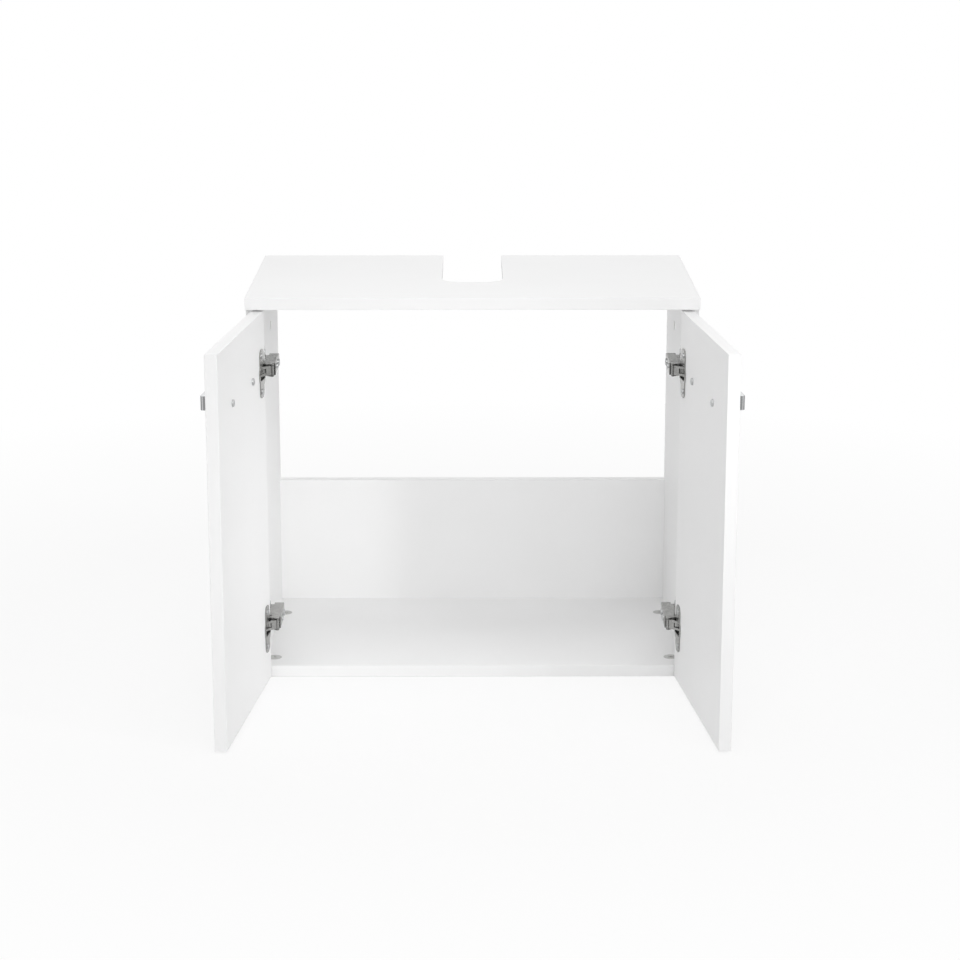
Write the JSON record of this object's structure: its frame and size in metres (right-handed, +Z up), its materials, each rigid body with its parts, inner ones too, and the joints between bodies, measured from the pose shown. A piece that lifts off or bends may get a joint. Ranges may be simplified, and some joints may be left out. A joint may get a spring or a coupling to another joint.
{
  "type": "wash basin base cabinet",
  "caption": "White base cabinet that stands under a wash basin, with hinged doors, bow handles, concealed hinges and a siphon cut-out in the top.",
  "frame": {"origin": "centre of the carcass's footprint, on its underside", "axes": "+X to the right seen from the front, +Y to the rear, +Z up; the doors are on the -Y side and stand open at rest"},
  "size_m": [0.6802, 0.6304, 0.53],
  "materials": {
    "carcass_board": "white foil on particle board, satin",
    "door_board": "white foil on particle board, satin",
    "handle_chrome": "bright chrome plating",
    "connector_housing": "grey moulded plastic",
    "connector_bolt": "zinc plated",
    "beech": "bare beech",
    "cap_plastic": "white moulded plastic",
    "nickel_plate": "nickel plated",
    "pin_steel": "bright drawn",
    "screw_zinc": "zinc plated"
  },
  "bodies": {
    "carcass": {"arm_fixing_screws": "screw_zinc", "arm_pins": "pin_steel", "back_connector_bolts": "connector_bolt", "back_connector_housings": "connector_housing", "back_dowels": "beech", "back_panel": "carcass_board", "bottom_connector_bolts": "connector_bolt", "bottom_connector_housings": "connector_housing", "bottom_dowels": "beech", "bottom_panel": "carcass_board", "cover_caps": "cap_plastic", "left_lower_hinge_arm": "nickel_plate", "left_lower_mounting_plate": "nickel_plate", "left_side_panel": "carcass_board", "left_upper_hinge_arm": "nickel_plate", "left_upper_mounting_plate": "nickel_plate", "plate_screws": "screw_zinc", "right_lower_hinge_arm": "nickel_plate", "right_lower_mounting_plate": "nickel_plate", "right_side_panel": "carcass_board", "right_upper_hinge_arm": "nickel_plate", "right_upper_mounting_plate": "nickel_plate", "side_adjusting_screws": "screw_zinc", "top_connector_bolts": "connector_bolt", "top_connector_housings": "connector_housing", "top_dowels": "beech", "top_panel": "carcass_board"},
    "right_outer_links": {"right_upper_outer_link": "nickel_plate", "right_lower_outer_link": "nickel_plate"},
    "right_door": {"right_door": "door_board", "right_upper_hinge_cup": "nickel_plate", "right_lower_hinge_cup": "nickel_plate", "right_cup_screws": "screw_zinc", "right_cup_pins": "pin_steel", "right_handle": "handle_chrome", "right_handle_screws": "screw_zinc"},
    "right_inner_links": {"right_upper_inner_link": "nickel_plate", "right_lower_inner_link": "nickel_plate", "right_inner_link_pins": "pin_steel"},
    "left_outer_links": {"left_upper_outer_link": "nickel_plate", "left_lower_outer_link": "nickel_plate"},
    "left_door": {"left_door": "door_board", "left_upper_hinge_cup": "nickel_plate", "left_lower_hinge_cup": "nickel_plate", "left_cup_screws": "screw_zinc", "left_cup_pins": "pin_steel", "left_handle": "handle_chrome", "left_handle_screws": "screw_zinc"},
    "left_inner_links": {"left_upper_inner_link": "nickel_plate", "left_lower_inner_link": "nickel_plate", "left_inner_link_pins": "pin_steel"}
  },
  "joints": [
    {"name": "right_door_swing", "type": "hinge", "parent": "right_outer_links", "child": "right_door", "pos_m": [0.27998, -0.17791, 0.2545], "axis": [0, 0, 1], "range_deg": [-148.04, 0]},
    {"name": "right_outer_link_swing", "type": "hinge", "parent": "carcass", "child": "right_outer_links", "pos_m": [0.2776, -0.16462, 0.2545], "axis": [0, 0, 1], "range_deg": [0, 51.66]},
    {"name": "right_inner_link_swing", "type": "hinge", "parent": "carcass", "child": "right_inner_links", "pos_m": [0.266, -0.173, 0.2545], "axis": [0, 0, 1], "range_deg": [0, 33.52]},
    {"name": "left_door_swing", "type": "hinge", "parent": "left_outer_links", "child": "left_door", "pos_m": [-0.27998, -0.17791, 0.2545], "axis": [0, 0, -1], "range_deg": [-148.04, 0]},
    {"name": "left_outer_link_swing", "type": "hinge", "parent": "carcass", "child": "left_outer_links", "pos_m": [-0.2776, -0.16462, 0.2545], "axis": [0, 0, -1], "range_deg": [0, 51.66]},
    {"name": "left_inner_link_swing", "type": "hinge", "parent": "carcass", "child": "left_inner_links", "pos_m": [-0.266, -0.173, 0.2545], "axis": [0, 0, -1], "range_deg": [0, 33.52]}
  ],
  "couplings": [
    {"joint": "right_outer_link_swing", "follows": "right_door_swing", "ratio": -0.34882},
    {"joint": "right_inner_link_swing", "follows": "right_door_swing", "ratio": -0.22629},
    {"joint": "left_outer_link_swing", "follows": "left_door_swing", "ratio": -0.34882},
    {"joint": "left_inner_link_swing", "follows": "left_door_swing", "ratio": -0.22629}
  ]
}
